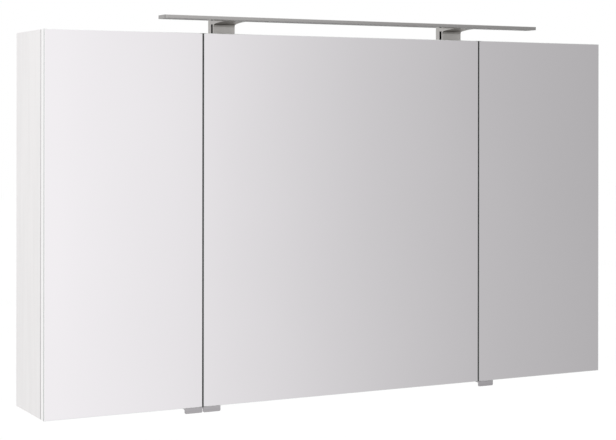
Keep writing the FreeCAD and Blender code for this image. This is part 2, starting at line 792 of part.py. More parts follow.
def make_hanger(side, panel):
    """A plug-in housing behind the back panel, with a hook for a wall rail. A slot in the back panel
    gives access to its setting screws."""
    wall_x = side * inner_x
    span = sorted((wall_x, wall_x - side * hanger_width))
    depth = (-back_recess + hanger_back_gap, -hanger_wall_gap)
    height = (ceiling_z - hanger_drop - hanger_height, ceiling_z - hanger_drop)
    housing = block(span, depth, height)
    upright = [edge for edge in housing.Edges if edge.BoundBox.YLength > back_recess / 2
               and abs(edge.CenterOfMass.x - (wall_x - side * hanger_width)) < hanger_wall_gap]
    housing = housing.makeFillet(hanger_corner, upright)
    middle_y = (depth[0] + depth[1]) / 2
    middle_z = (height[0] + height[1]) / 2
    out = X * side
    pegs = []
    for step in (-1, 1):
        root = Vector(wall_x, middle_y, middle_z + step * hanger_peg_spacing / 2)
        pegs.append(peg(root, out, hanger_peg_radius, hanger_peg_length))
        drill(panel, peg(root, out, hanger_peg_radius + joint_play, hanger_peg_length + hole_end_play))

    hook_top = height[1] - hanger_hook_thickness
    inner_end = wall_x - side * (hanger_width + hanger_hook_reach)
    hook_x = sorted((inner_end, inner_end + side * hanger_hook_width))
    thickness = hanger_hook_thickness
    stem_y = depth[0] + thickness
    stem = block(hook_x, (stem_y, stem_y + thickness), (hook_top - 2 * hanger_hook_drop, hook_top))
    bridge = block(hook_x, (stem_y, depth[1]), (hook_top - thickness, hook_top))
    lip = block(hook_x, (depth[1] - thickness, depth[1]), (hook_top - hanger_hook_drop, hook_top))
    hook = stem.fuse([bridge, lip]).removeSplitter()
    pocket = block((hook_x[0] - joint_play, hook_x[1] + joint_play),
                   (stem_y - joint_play, depth[1] + hanger_wall_gap),
                   (hook_top - 2 * hanger_hook_drop - joint_play, height[1]))
    add("wall_hanger_hooks", hook)

    add("wall_hanger_housings", housing.fuse(pegs).cut(pocket).removeSplitter())

    access_x = (span[0] + span[1]) / 2
    access_z = height[0] + hanger_access_rise
    drill("back_panel", block((access_x - hanger_access_width / 2, access_x + hanger_access_width / 2),
                              (back_front_y, -back_recess), (access_z, access_z + hanger_access_height)))


def make_grommet():
    """A soft bush in the back panel with square lips, which the mains lead comes in through."""
    neck = grommet_radius + grommet_wall
    half = neck + grommet_rim
    span = (grommet_x - half, grommet_x + half)
    height = (grommet_height - half, grommet_height + half)
    front = back_front_y - grommet_lip
    rear = -back_recess + grommet_lip
    start = Vector(grommet_x, front, grommet_height)
    lips = [block(span, (front, back_front_y), height), block(span, (-back_recess, rear), height)]
    ring = rod(start, Y, neck, rear - front).fuse(lips)
    add("cable_grommet", ring.cut(rod(start, Y, grommet_radius, rear - front)).removeSplitter())
    drill("back_panel", rod(start + Y * grommet_lip, Y, neck + joint_play, back_thickness))


def save_nodes():
    os.makedirs("parts", exist_ok=True)
    for node, shapes in nodes.items():
        tools = drillings.get(node)
        solids = []
        for shape in shapes:
            finished = shape.cut(tools) if tools else shape
            solids.extend(finished.Solids)
        whole = solids[0] if len(solids) == 1 else Part.makeCompound(solids)
        whole.exportStep("parts/" + node + ".step")


make_panels()
make_back_panel()
join_carcass()
for bay_name, bay in bays.items():
    make_bay(bay_name, *bay)
for door_name, door_plan in doors.items():
    make_door(door_name, door_plan)
    hang_door(door_name, door_plan)
make_lamp()
for bracket_side in (-1, 1):
    make_bracket(bracket_side * bracket_spacing / 2)
drill_lead_hole(bracket_spacing / 2)
make_switch_box()
make_hanger(-1, "side_panel_left")
make_hanger(1, "side_panel_right")
make_grommet()
save_nodes()
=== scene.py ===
import json
import math
import bpy
from mathutils import Matrix, Vector


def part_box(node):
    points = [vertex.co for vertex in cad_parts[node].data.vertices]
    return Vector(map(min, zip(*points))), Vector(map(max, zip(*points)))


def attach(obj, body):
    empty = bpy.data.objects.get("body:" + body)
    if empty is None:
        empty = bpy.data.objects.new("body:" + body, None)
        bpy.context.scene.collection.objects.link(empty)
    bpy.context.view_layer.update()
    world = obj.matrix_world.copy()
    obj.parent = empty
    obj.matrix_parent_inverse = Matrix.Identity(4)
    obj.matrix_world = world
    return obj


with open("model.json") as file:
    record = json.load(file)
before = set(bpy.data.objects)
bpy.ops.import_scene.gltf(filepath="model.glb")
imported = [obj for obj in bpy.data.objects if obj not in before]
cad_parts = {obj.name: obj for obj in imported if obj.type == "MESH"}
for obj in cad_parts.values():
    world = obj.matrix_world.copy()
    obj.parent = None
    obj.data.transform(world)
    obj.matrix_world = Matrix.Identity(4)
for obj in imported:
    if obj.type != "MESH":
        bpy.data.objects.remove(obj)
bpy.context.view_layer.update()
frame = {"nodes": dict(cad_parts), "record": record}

# Looks of a lighted mirror cabinet: white wood-pore boards, silvered doors, satin metal lamp and pulls.
# Metres. X runs along the cabinet, Y into the wall, Z up, and the doors face -Y.

mm = 0.001
east, north, up = Vector((1, 0, 0)), Vector((0, 1, 0)), Vector((0, 0, 1))
white = "#FFFFFF"

# Camera: level, in front and to the left, with the lens shifted down to frame the whole cabinet
camera_place = Vector((-1.4279, -2.7594, 0.5287))
camera_yaw = math.radians(27.37)
camera_roll = math.radians(0.063)
focal_pixels = 1547.16
frame_width_pixels = 616
lens_shift_pixels = 102.75
sensor_width = 36.0

# Room: the cabinet hangs above a pale floor, in soft light. Mirrors and metal look at a studio wall that is
# white straight ahead of the doors, pale on the left, grey on the right and dark behind the cabinet, with a
# dark floor below it and a white ceiling above.
floor_below = 1.2
floor_reach = 60.0
floor_patch = 0.5
soft_light = 0.83
floor_glow = 0.19             # lifts the floor to white for the camera
wall_greys = (                # bearing of the wall from straight ahead, in degrees to the right
    (-180, "#787878"),
    (-164, "#E0E0E0"),
    (-60, "#D2D2D2"),
    (0, "#FFFFFF"),
    (18, "#F8F8F8"),
    (23, "#ECECEC"),
    (30, "#CFCFCF"),
    (34, "#C0C0C0"),
    (38, "#B6B6B6"),
    (100, "#A6A6A6"),
    (128, "#A6A6A6"),
    (145, "#787878"),
)
floor_grey = "#5E5E5E"
wall_foot = (-0.65, -0.24)    # slopes between which the floor's grey turns into the wall
wall_head = (0.3, 0.75)       # slopes between which the wall turns into the ceiling
key_power = 25.0
key_place = Vector((-1.9, -1.9, 1.9))
key_aim = Vector((-0.2, -0.1, 0.35))
key_size = 1.8

# Edge bands of the boards: white on the doors' outer edges; greyer on the carcass, as painted shade for the
# seams behind the doors; and darker painted shade on the doors' edges in their gaps and along the outer
# corners of the sides
carcass_band_shade_grey = "#C6C4C3"
door_band = "#F9F8F8"
gap_shade_band = "#9A9897"
seam_shade_tone = "#7A7876"
gap_place = sum(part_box("partition_right"), Vector()).x / 2    # from the middle to the gap between two doors
side_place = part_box("side_panel_right")[1].x
gap_shade_reach = (4 * mm, 8 * mm)              # from the gap's middle, where its painted shade begins to fade and has faded
seam_shade_reach = (1.0 * mm, 1.6 * mm)         # the same for the painted shade line, from the sides' outer faces

# Lamp: brackets with a slot between two legs, on the top panel's front edge, and a strip with chips under it
bracket_width = 43 * mm
bracket_rear_leg = 14.5 * mm
bracket_slot = 5.5 * mm
bracket_slot_height = 17.5 * mm
bracket_slot_shade_lip = 0.8 * mm               # of black painted shade round the slot's mouth
bracket_shade_height = 13.3 * mm           # above the panel, from which the hollow under the arm is painted darker as shade
bracket_blend = 0.3 * mm
chip_height = 0.6 * mm
chip_blend = 0.05 * mm

# Screws, covers of the cam fittings, and the rocker's marks
screw_radius = 3.6 * mm
screw_height = 1.8 * mm
screw_dome = 0.55 * screw_height          # rounding of the head's rim
screw_shoulder = 0.45 * screw_radius      # from the head's rim to the shank
cross_length = 1.15 * screw_radius
cross_width = 0.26 * screw_radius
cross_depth = 0.3 * screw_radius
cover_radius = 8.5 * mm
cover_height = 0.9 * mm
cover_round = 0.5 * cover_height
cover_rim = 1.4 * mm
cover_dish = cover_height / 3
mark_radius = 1.7 * mm
mark_line = 0.35 * mm                     # half the width of the marks' lines
mark_rise = 0.16 * mm
mark_round = 0.6 * mark_rise
crisp_edge = math.radians(35)             # sharper edges of screws and covers stay crisp
crisp_ring = math.radians(60)

# Places of the hinges' screws, from each hinge's middle and its arm's foot and rear end
into_door = {"left": 1, "middle": -1, "right": -1}    # way along X from each door's hinge edge
cup_reach = 28.5 * mm                     # to the ends of the cup's ears
ear_offset = 9.5 * mm                     # of the ears' screws beyond the cup's middle, into the door
ear_spread = 22.5 * mm
wing_spread = 18 * mm
wing_setback = 31 * mm
wing_drop = 0.4 * mm                      # of the plate's wings below the arm's foot
arm_rise = 4 * mm                         # of the arm's back above its foot
arm_setbacks = (10 * mm, 24 * mm)
setting_screw = 1.1                       # size beside a screw of the usual size

# Places of the other screws, the cam fittings and the rocker's marks
pull_flange = 2.5 * mm
pull_spread = 8.5 * mm
pull_setback = 8 * mm
pull_screw = 0.85                         # size beside a screw of the usual size
bracket_spread = 14 * mm
hanger_reach = 31 * mm                    # from a housing's middle to its pegs' ends
hanger_spread = 7.5 * mm
hanger_rise = 10 * mm
cam_from_end = 24 * mm
cam_from_wall = 49 * mm
cam_from_level = 40 * mm                  # from the cabinet's top and bottom
rocker_tilt = math.radians(8)             # at rest, with its lower end pressed in
rocker_half = 8.5 * mm
rocker_fall = 2.3 * mm                    # of each face, from the rocker's end to its middle
rocker_lean = math.atan2(rocker_fall, rocker_half)
mark_from_axle = 7.35 * mm
mark_from_middle = 4.25 * mm


# Helpers for shaders

def linear(colour):
    """An sRGB hex colour as linear RGBA."""
    values = [int(colour[place:place + 2], 16) / 255 for place in (1, 3, 5)]
    return [v / 12.92 if v <= 0.04045 else ((v + 0.055) / 1.055) ** 2.4 for v in values] + [1.0]


# A mix of colours takes its share in socket 0 and the colours in 6 and 7, and gives the result in output 2.
tint = {"data_type": "RGBA"}
smooth = {"interpolation_type": "SMOOTHSTEP"}


def add_node(tree, kind, settings=None, inputs=None):
    """A shader node with its own settings, and a value or a link for each socket named or numbered."""
    node = tree.nodes.new(kind)
    for name, value in (settings or {}).items():
        setattr(node, name, value)
    for name, value in (inputs or {}).items():
        if isinstance(value, bpy.types.NodeSocket):
            tree.links.new(value, node.inputs[name])
        else:
            node.inputs[name].default_value = value
    return node


def new_finish(name, **sockets):
    """A material with one shader; returns the material, its tree and the shader."""
    material = bpy.data.materials.new(name)
    material.use_nodes = True
    tree = material.node_tree
    tree.nodes.clear()
    shader = add_node(tree, "ShaderNodeBsdfPrincipled", inputs=sockets)
    add_node(tree, "ShaderNodeOutputMaterial", inputs={"Surface": shader.outputs["BSDF"]})
    return material, tree, shader


def grain(tree, size, detail=2.0):
    """A pattern whose streaks or patches measure size, three lengths in metres along X, Y and Z."""
    place = add_node(tree, "ShaderNodeTexCoord").outputs["Object"]
    scale = [1 / length for length in size]
    mapped = add_node(tree, "ShaderNodeMapping", inputs={"Vector": place, "Scale": scale})
    noise = add_node(tree, "ShaderNodeTexNoise",
                     inputs={"Vector": mapped.outputs["Vector"], "Scale": 1.0, "Detail": detail})
    return noise.outputs["Fac"]


def mottle(tree, pattern, low, high, spread=(0.3, 0.7)):
    """A colour that follows a pattern between two tones, over the spread of the pattern given."""
    share = add_node(tree, "ShaderNodeMapRange", smooth,
                     {"Value": pattern, "From Min": spread[0], "From Max": spread[1]}).outputs["Result"]
    return add_node(tree, "ShaderNodeMix", tint, {0: share, 6: linear(low), 7: linear(high)}).outputs[2]


def raise_grain(tree, shader, size, depth, detail=2.0):
    """A pattern of a given size as relief of a given depth, both in metres, on a shader's surface."""
    pattern = grain(tree, size, detail)
    relief = add_node(tree, "ShaderNodeBump", inputs={"Height": pattern, "Distance": depth, "Strength": 1.0})
    tree.links.new(relief.outputs["Normal"], shader.inputs["Normal"])


def squareness(tree, axis, low, high):
    """Shares from 0 to 1 of how squarely a surface faces along an axis, either way."""
    facing = add_node(tree, "ShaderNodeTexCoord").outputs["Normal"]
    along = add_node(tree, "ShaderNodeSeparateXYZ", inputs={"Vector": facing}).outputs[axis]
    size = add_node(tree, "ShaderNodeMath", {"operation": "ABSOLUTE"}, {0: along}).outputs[0]
    return add_node(tree, "ShaderNodeMapRange", smooth,
                    {"Value": size, "From Min": low, "From Max": high}).outputs["Result"]


def off_planes(tree, axis, level, near, far):
    """Shares from 0 to 1 of how far a point lies off two planes, one at a level each side of the origin."""
    place = add_node(tree, "ShaderNodeTexCoord").outputs["Object"]
    along = add_node(tree, "ShaderNodeSeparateXYZ", inputs={"Vector": place}).outputs[axis]
    reach = add_node(tree, "ShaderNodeMath", {"operation": "ABSOLUTE"}, {0: along}).outputs[0]
    way = add_node(tree, "ShaderNodeMath", {"operation": "SUBTRACT"}, {0: reach, 1: abs(level)}).outputs[0]
    size = add_node(tree, "ShaderNodeMath", {"operation": "ABSOLUTE"}, {0: way}).outputs[0]
    return add_node(tree, "ShaderNodeMapRange", smooth,
                    {"Value": size, "From Min": near, "From Max": far}).outputs["Result"]


# Materials

def white_face(tree, along):
    """The colour of a melamine face: white, with faint streaks along the grain."""
    streak = [260 * mm if axis == along else 18 * mm for axis in "XYZ"]
    return mottle(tree, grain(tree, streak, detail=3.0), "#EEECEC", "#F2F0F0", spread=(0.34, 0.66))


def white_board(name, along, face, band, line=None):
    """Melamine-faced chipboard, pressed with a wood-pore plate: white with faint streaks along the grain,
    a soft sheen, and a plain band along its edges. The band can have a line of painted shade in another
    tone: its place along X, its reach and its tone. The pores are drawn coarser than real, so that they show."""
    material, tree, shader = new_finish(name, Roughness=0.42, IOR=1.5)
    edge = linear(band)
    if line:
        place, reach, shade_tone = line
        # the line is painted shade: a darker tone on the edge band
        off_shade_line = off_planes(tree, "X", place, *reach)
        edge = add_node(tree, "ShaderNodeMix", tint, {0: off_shade_line, 6: linear(shade_tone), 7: edge}).outputs[2]
    on_face = squareness(tree, face, low=0.4, high=0.9)
    colour = add_node(tree, "ShaderNodeMix", tint, {0: on_face, 6: edge, 7: white_face(tree, along)})
    tree.links.new(colour.outputs[2], shader.inputs["Base Color"])
    pore = [30 * mm if axis == along else 1.6 * mm for axis in "XYZ"]
    raise_grain(tree, shader, pore, depth=0.04 * mm)
    return material


def fibreboard():
    """Thin hardboard, faced white towards the shelves and left raw behind: brown pressed fibres."""
    material, tree, shader = new_finish("white_faced_hardboard", Roughness=0.6)
    facing = add_node(tree, "ShaderNodeTexCoord").outputs["Normal"]
    towards_wall = add_node(tree, "ShaderNodeSeparateXYZ", inputs={"Vector": facing}).outputs["Y"]
    behind = add_node(tree, "ShaderNodeMapRange", smooth,
                      {"Value": towards_wall, "From Min": 0.5, "From Max": 0.9}).outputs["Result"]
    fibre = (4 * mm, 4 * mm, 1.4 * mm)
    raw = mottle(tree, grain(tree, fibre, detail=4.0), "#A8845F", "#BE9A72")
    colour = add_node(tree, "ShaderNodeMix", tint, {0: behind, 6: white_face(tree, "X"), 7: raw})
    tree.links.new(colour.outputs[2], shader.inputs["Base Color"])
    raise_grain(tree, shader, fibre, depth=0.05 * mm, detail=4.0)
    return material


def mirror_glass():
    """Float glass silvered on its back: a clear cold reflection, and round it a matt ground bevel and a
    polished edge. The bevel is pale at the cabinet's sides; where two doors meet, both are painted dark as
    shade."""
    material, tree, shader = new_finish("silvered_float_glass")
    off_edge = squareness(tree, "Y", low=0.3, high=0.5)
    on_front = squareness(tree, "Y", low=0.8, high=0.9)
    on_bevel = add_node(tree, "ShaderNodeMath", {"operation": "SUBTRACT"},
                        {0: off_edge, 1: on_front}).outputs[0]
    off_gap_shade = off_planes(tree, "X", gap_place, *gap_shade_reach)
    silver = mottle(tree, grain(tree, [400 * mm] * 3), "#F7F4F7", "#F9F6F9")
    # painted shade: the edge and the bevel turn dark towards the gaps between doors
    edge = add_node(tree, "ShaderNodeMix", tint, {0: off_gap_shade, 6: linear("#3A403D"), 7: linear("#6A6F6C")})
    bevel = add_node(tree, "ShaderNodeMix", tint, {0: off_gap_shade, 6: linear("#7A7E7C"), 7: linear("#EAECEB")})
    clear = add_node(tree, "ShaderNodeMix", tint, {0: on_front, 6: edge.outputs[2], 7: silver})
    colour = add_node(tree, "ShaderNodeMix", tint,
                      {0: on_bevel, 6: clear.outputs[2], 7: bevel.outputs[2]})
    tree.links.new(colour.outputs[2], shader.inputs["Base Color"])
    for socket, polished, ground in (("Metallic", 1.0, 0.0), ("Roughness", 0.0, 0.5)):
        share = add_node(tree, "ShaderNodeMapRange",
                         inputs={"Value": on_bevel, "To Min": polished, "To Max": ground})
        tree.links.new(share.outputs["Result"], shader.inputs[socket])
    return material


def shelf_glass():
    """Clear float glass: see-through, with the green of iron in the long way through its edges."""
    material, tree, shader = new_finish("clear_float_glass", Roughness=0.02, IOR=1.52)
    shader.inputs["Transmission Weight"].default_value = 1.0
    colour = mottle(tree, grain(tree, [200 * mm] * 3), "#F0F7F4", "#F5FAF8")
    tree.links.new(colour, shader.inputs["Base Color"])
    return material


def satin_metal(name, low, high, roughness, along="", line=0.9 * mm, relief=0.02 * mm):
    """A metal finished by brushing or rolling, with fine lines along one axis that blur its reflection, or
    by blasting, with grit and no axis. Lines and grit are drawn coarser than real, so that they show."""
    material, tree, shader = new_finish(name, Metallic=1.0)
    size = [120 * mm if axis == along else line for axis in "XYZ"]
    lines = grain(tree, size, detail=3.0)
    uneven = 0.05
    tree.links.new(mottle(tree, lines, low, high), shader.inputs["Base Color"])
    blur = add_node(tree, "ShaderNodeMapRange", smooth,
                    {"Value": lines, "From Min": 0.3, "From Max": 0.7,
                     "To Min": roughness - uneven, "To Max": roughness + uneven})
    tree.links.new(blur.outputs["Result"], shader.inputs["Roughness"])
    raise_grain(tree, shader, size, relief, detail=3.0)
    return material


def slotted_casting():
    """Blasted cast aluminium: an even, slightly warm grey. The slot between the legs and its lips are painted
    black as shade, and the hollow under the arm is painted darker as shade."""
    material = satin_metal("blasted_cast_aluminium", "#C9C7C4", "#CFCDCA", roughness=0.40,
                           line=1.2 * mm, relief=0.008 * mm)
    tree = material.node_tree
    base = tree.nodes["Principled BSDF"].inputs["Base Color"]
    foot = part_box("top_panel")[1].z
    slot_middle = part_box("lamp_brackets")[1].y - bracket_rear_leg - bracket_slot / 2
    slot_side = bracket_slot / 2 + bracket_slot_shade_lip
    slot_top = bracket_slot_height + bracket_slot_shade_lip

    # painted shade: faces turned forward or down, in the hollow under the arm, darker
    facing = add_node(tree, "ShaderNodeTexCoord").outputs["Normal"]
    ways = add_node(tree, "ShaderNodeSeparateXYZ", inputs={"Vector": facing}).outputs
    slant = add_node(tree, "ShaderNodeMath", {"operation": "ADD"}, {0: ways["Y"], 1: ways["Z"]}).outputs[0]
    front_or_under = add_node(tree, "ShaderNodeMapRange", smooth,
                              {"Value": slant, "From Min": -0.4, "From Max": -0.8}).outputs["Result"]
    raised = off_planes(tree, "Z", foot, bracket_shade_height, bracket_shade_height + bracket_blend)
    hollow_shade_mask = add_node(tree, "ShaderNodeMath", {"operation": "MULTIPLY"},
                      {0: front_or_under, 1: raised}).outputs[0]
    beside = off_planes(tree, "Y", slot_middle, slot_side, slot_side + bracket_blend)
    above = off_planes(tree, "Z", foot, slot_top, slot_top + bracket_blend)
    outside = add_node(tree, "ShaderNodeMath", {"operation": "MAXIMUM"}, {0: beside, 1: above}).outputs[0]
    blasted = base.links[0].from_socket
    hollow_shaded = add_node(tree, "ShaderNodeMix", tint, {0: hollow_shade_mask, 6: blasted, 7: linear("#A6A4A0")})
    # painted shade: black in the slot and round its mouth
    colour = add_node(tree, "ShaderNodeMix", tint,
                      {0: outside, 6: linear("#0C0C0C"), 7: hollow_shaded.outputs[2]})
    tree.links.new(colour.outputs[2], base)
    return material


def moulded_plastic(name, low, high, roughness):
    """Injection-moulded plastic with a spark-eroded skin: even colour and a fine pebbled sheen. The pebbles
    are drawn coarser than real, so that they show."""
    material, tree, shader = new_finish(name, Roughness=roughness, IOR=1.46)
    colour = mottle(tree, grain(tree, [40 * mm] * 3), low, high)
    tree.links.new(colour, shader.inputs["Base Color"])
    raise_grain(tree, shader, [0.8 * mm] * 3, depth=0.03 * mm)
    return material


def opal_plastic():
    """Opal acrylic over the lamp: milky, with light spread inside it and a glossy skin."""
    material, tree, shader = new_finish("opal_acrylic", Roughness=0.08, IOR=1.49)
    shader.inputs["Subsurface Weight"].default_value = 0.5
    shader.inputs["Subsurface Radius"].default_value = [2 * mm] * 3
    colour = mottle(tree, grain(tree, [30 * mm] * 3), "#B2B2AE", "#B8B8B4")
    tree.links.new(colour, shader.inputs["Base Color"])
    return material


def beech():
    """Turned beech, pale with short dark flecks along the grain."""
    material, tree, shader = new_finish("turned_beech", Roughness=0.6)
    flecks = grain(tree, (6 * mm, 0.7 * mm, 6 * mm))
    colour = mottle(tree, flecks, "#D8B98C", "#B98F60", spread=(0.55, 0.75))
    tree.links.new(colour, shader.inputs["Base Color"])
    return material


def light_strip_board():
    """White solder mask, with yellow phosphor on the chips below it."""
    material, tree, shader = new_finish("white_circuit_board", Roughness=0.35)
    chip_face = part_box("light_strip")[0].z
    off_chip = off_planes(tree, "Z", chip_face, chip_height - chip_blend, chip_height + chip_blend)
    colour = add_node(tree, "ShaderNodeMix", tint,
                      {0: off_chip, 6: linear("#E8C850"), 7: linear("#F2F2EC")})
    tree.links.new(colour.outputs[2], shader.inputs["Base Color"])
    return material


def rubber(name, low, high):
    """Moulded rubber: matt, with a faint bloom."""
    material, tree, shader = new_finish(name, Roughness=0.7, IOR=1.5)
    colour = mottle(tree, grain(tree, [4 * mm] * 3), low, high, spread=(0.35, 0.7))
    tree.links.new(colour, shader.inputs["Base Color"])
    return material


# painted shade: dark lines on the doors' edges in their gaps, and on the sides' edges along the seam with the
# doors
gap_shade_line = (gap_place, gap_shade_reach, gap_shade_band)
seam_shade_line = (side_place, seam_shade_reach, seam_shade_tone)
# the carcass boards' band is greyed as painted shade for the seams behind the doors
boards = {
    "side_panel": white_board("white_wood_pore_board_side", "Z", "X", carcass_band_shade_grey, seam_shade_line),
    "partition": white_board("white_wood_pore_board_partition", "Z", "X", carcass_band_shade_grey),
    "top_panel": white_board("white_wood_pore_board_level", "X", "Z", carcass_band_shade_grey),
    "door_panel": white_board("white_wood_pore_board_door", "Z", "Y", door_band, gap_shade_line),
    "back_panel": fibreboard(),
}
boards["bottom_panel"] = boards["top_panel"]
finishes = {
    "mirror_glass": mirror_glass(),
    "shelf_glass": shelf_glass(),
    "nickel_steel": satin_metal("nickel_plated_steel", "#CCC9C4", "#D3D0CB", roughness=0.24, along="Z",
                                line=1.6 * mm, relief=0.005 * mm),
    "satin_pull": satin_metal("satin_nickel", "#BDBABD", "#C9C6C9", roughness=0.40, along="X"),
    "beech": beech(),
    "lamp_aluminium": satin_metal("anodised_aluminium", "#B7B5B4", "#BDBBBA", roughness=0.14, along="X"),
    "bracket_aluminium": slotted_casting(),
    "opal_plastic": opal_plastic(),
    "circuit_board": light_strip_board(),
    "white_plastic": moulded_plastic("white_abs", "#EDEDEB", "#F2F2F0", roughness=0.38),
    "grey_plastic": moulded_plastic("grey_polyamide", "#8C8E92", "#979A9E", roughness=0.5),
    "black_plastic": moulded_plastic("black_abs", "#1D1D1F", "#252527", roughness=0.3),
    "soft_rubber": rubber("clear_grey_rubber", "#C6C7C8", "#D2D3D4"),
    "black_rubber": rubber("black_rubber", "#161616", "#232323"),
}


def finish_nodes():
    """Every piece of the frame gets the finish of its slot."""
    for row in frame["record"]["subparts"]:
        name, slot = row["node"], row["material_slot"]
        if slot == "white_board":
            material = boards[name] if name in boards else boards[name.rsplit("_", 1)[0]]
        else:
            material = finishes[slot]
        mesh = frame["nodes"][name].data
        mesh.materials.clear()
        mesh.materials.append(material)


# Small fasteners and marks, each modelled once and copied

def start(primitive, stretch=(1, 1, 1), **settings):
    """A new primitive, stretched and alone selected, with its place in its mesh."""
    bpy.ops.object.select_all(action="DESELECT")
    primitive(**settings)
    piece = bpy.context.object
    piece.scale = stretch
    bpy.ops.object.transform_apply()
    return piece


def pick(piece, wanted):
    """Edit mode, with only those faces selected that wanted takes."""
    bpy.ops.object.mode_set(mode="EDIT")
    bpy.ops.mesh.select_mode(type="FACE")
    bpy.ops.mesh.select_all(action="DESELECT")
    bpy.ops.object.mode_set(mode="OBJECT")
    for face in piece.data.polygons:
        face.select = wanted(face)
    bpy.ops.object.mode_set(mode="EDIT")


def faces_up(face):
    return face.normal.z > 0.9


def faces_down(face):
    return face.normal.z < -0.9


def cut(piece, tool):
    """Cuts a tool's shape out of a piece, and takes the tool away."""
    cutter = piece.modifiers.new("cut", "BOOLEAN")
    cutter.operation = "DIFFERENCE"
    cutter.object = tool
    bpy.ops.object.select_all(action="DESELECT")
    piece.select_set(True)
    bpy.context.view_layer.objects.active = piece
    bpy.ops.object.modifier_apply(modifier=cutter.name)
    bpy.data.objects.remove(tool)


def model_screw():
    """A cross-recess screw with a domed head on the plane z = 0 and a stub of its shank below."""
    screw = start(bpy.ops.mesh.primitive_cylinder_add, vertices=32, radius=screw_radius,
                  depth=screw_height, location=up * screw_height / 2)
    pick(screw, faces_up)
    bpy.ops.mesh.bevel(offset=screw_dome, segments=4, affect="EDGES")
    pick(screw, faces_down)
    bpy.ops.mesh.inset(thickness=screw_shoulder)
    bpy.ops.mesh.extrude_region_move(TRANSFORM_OT_translate={"value": -up * screw_height / 2})
    bpy.ops.object.mode_set(mode="OBJECT")
    for length, width in ((cross_length, cross_width), (cross_width, cross_length)):
        blade = start(bpy.ops.mesh.primitive_cube_add, (length, width, 2 * cross_depth), size=1,
                      location=up * screw_height)
        cut(screw, blade)
    bpy.ops.object.shade_smooth_by_angle(angle=crisp_edge)
    return screw


def model_cover():
    """A moulded cover for a cam fitting: a thin cap on the plane z = 0 with a soft rim, dished inside."""
    cover = start(bpy.ops.mesh.primitive_cylinder_add, vertices=48, radius=cover_radius,
                  depth=cover_height, location=up * cover_height / 2)
    pick(cover, faces_up)
    bpy.ops.mesh.bevel(offset=cover_round, segments=3, affect="EDGES")
    pick(cover, lambda face: faces_up(face) and face.area > cover_radius ** 2)
    bpy.ops.mesh.inset(thickness=cover_rim)
    bpy.ops.mesh.extrude_region_move(TRANSFORM_OT_translate={"value": -up * cover_dish})
    bpy.ops.object.mode_set(mode="OBJECT")
    bpy.ops.object.shade_smooth_by_angle(angle=crisp_edge)
    return cover


def model_on_mark():
    """A moulded upright bar, rounded at its rim, half sunk in the plane z = 0."""
    bar = start(bpy.ops.mesh.primitive_cube_add, (2 * mark_line, 2 * mark_radius, 2 * mark_rise), size=1)
    pick(bar, faces_up)
    bpy.ops.mesh.bevel(offset=mark_round, segments=2, affect="EDGES")
    bpy.ops.object.mode_set(mode="OBJECT")
    return bar


def model_off_mark():
    """A moulded ring, flattened and half sunk in the plane z = 0."""
    ring = start(bpy.ops.mesh.primitive_torus_add, major_radius=mark_radius, minor_radius=mark_line,
                 major_segments=40, minor_segments=8)
    bpy.ops.object.mode_set(mode="EDIT")
    bpy.ops.mesh.select_all(action="SELECT")
    bpy.ops.transform.resize(value=(1, 1, mark_rise / mark_line))
    bpy.ops.object.mode_set(mode="OBJECT")
    bpy.ops.object.shade_smooth_by_angle(angle=crisp_ring)
    return ring


def set_copies(model, name, body, slot, places):
    """Copies of a model as one piece on a body. Each place is a point, the way out of it and a size."""
    copies = []
    for point, way, size in places:
        mesh = model.data.copy()
        turn = way.to_track_quat("Z", "Y").to_matrix().to_4x4()
        mesh.transform(Matrix.Translation(point) @ turn @ Matrix.Scale(size, 4))
        copies.append(bpy.data.objects.new(name, mesh))
        bpy.context.scene.collection.objects.link(copies[-1])
    bpy.ops.object.select_all(action="DESELECT")
    for copy in copies:
        copy.select_set(True)
    bpy.context.view_layer.objects.active = copies[0]
    bpy.ops.object.join()
    piece = copies[0]
    piece.data.materials.append(finishes[slot])
    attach(piece, body)


def hinge_screws(bay):
    """Places of a door's hinge screws: those in the cups' ears, and those in the plates and arms."""
    inward = into_door[bay]
    cups_low, cups_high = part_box("hinge_cups_" + bay)
    arms_low, arms_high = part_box("hinge_arms_" + bay)
    ear_x = (cups_low.x + cups_high.x) / 2 + inward * ear_offset
    arm_foot = arms_low.x if inward > 0 else arms_high.x
    wing_x = arm_foot - inward * wing_drop
    spine_x = arm_foot + inward * arm_rise
    wing_y = arms_high.y - wing_setback
    in_ears, in_plates = [], []
    for middle in (cups_low.z + cup_reach, cups_high.z - cup_reach):
        for step in (-1, 1):
            in_ears.append((Vector((ear_x, cups_high.y, middle + step * ear_spread)), north, 1.0))
            in_plates.append((Vector((wing_x, wing_y, middle + step * wing_spread)), east * inward, 1.0))
        for setback in arm_setbacks:
            point = Vector((spine_x, arms_high.y - setback, middle))
            in_plates.append((point, east * inward, setting_screw))
    return in_ears, in_plates


def pull_screws(bay):
    """Places of the screws under a pull's flange."""
    low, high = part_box("door_pull_" + bay)
    middle = (low.x + high.x) / 2
    row, level = high.y - pull_setback, high.z - pull_flange
    return [(Vector((middle + step * pull_spread, row, level)), -up, pull_screw) for step in (-1, 1)]


def bracket_screws():
    """Places of the screws under the top panel that hold the lamp's brackets."""
    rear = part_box("lamp_brackets")[1]
    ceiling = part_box("top_panel")[0].z
    bracket_x, leg_y = rear.x - bracket_width / 2, rear.y - bracket_rear_leg / 2
    return [(Vector((side * bracket_x + step * bracket_spread, leg_y, ceiling)), -up, 1.0)
            for side in (-1, 1) for step in (-1, 1)]


def hanger_screws():
    """Places of the setting screws in the wall hangers, behind the back panel's slots."""
    low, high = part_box("wall_hanger_housings")
    hanger_x, level = high.x - hanger_reach, low.z + hanger_rise
    return [(Vector((side * hanger_x + step * hanger_spread, low.y, level)), -north, setting_screw)
            for side in (-1, 1) for step in (-1, 1)]


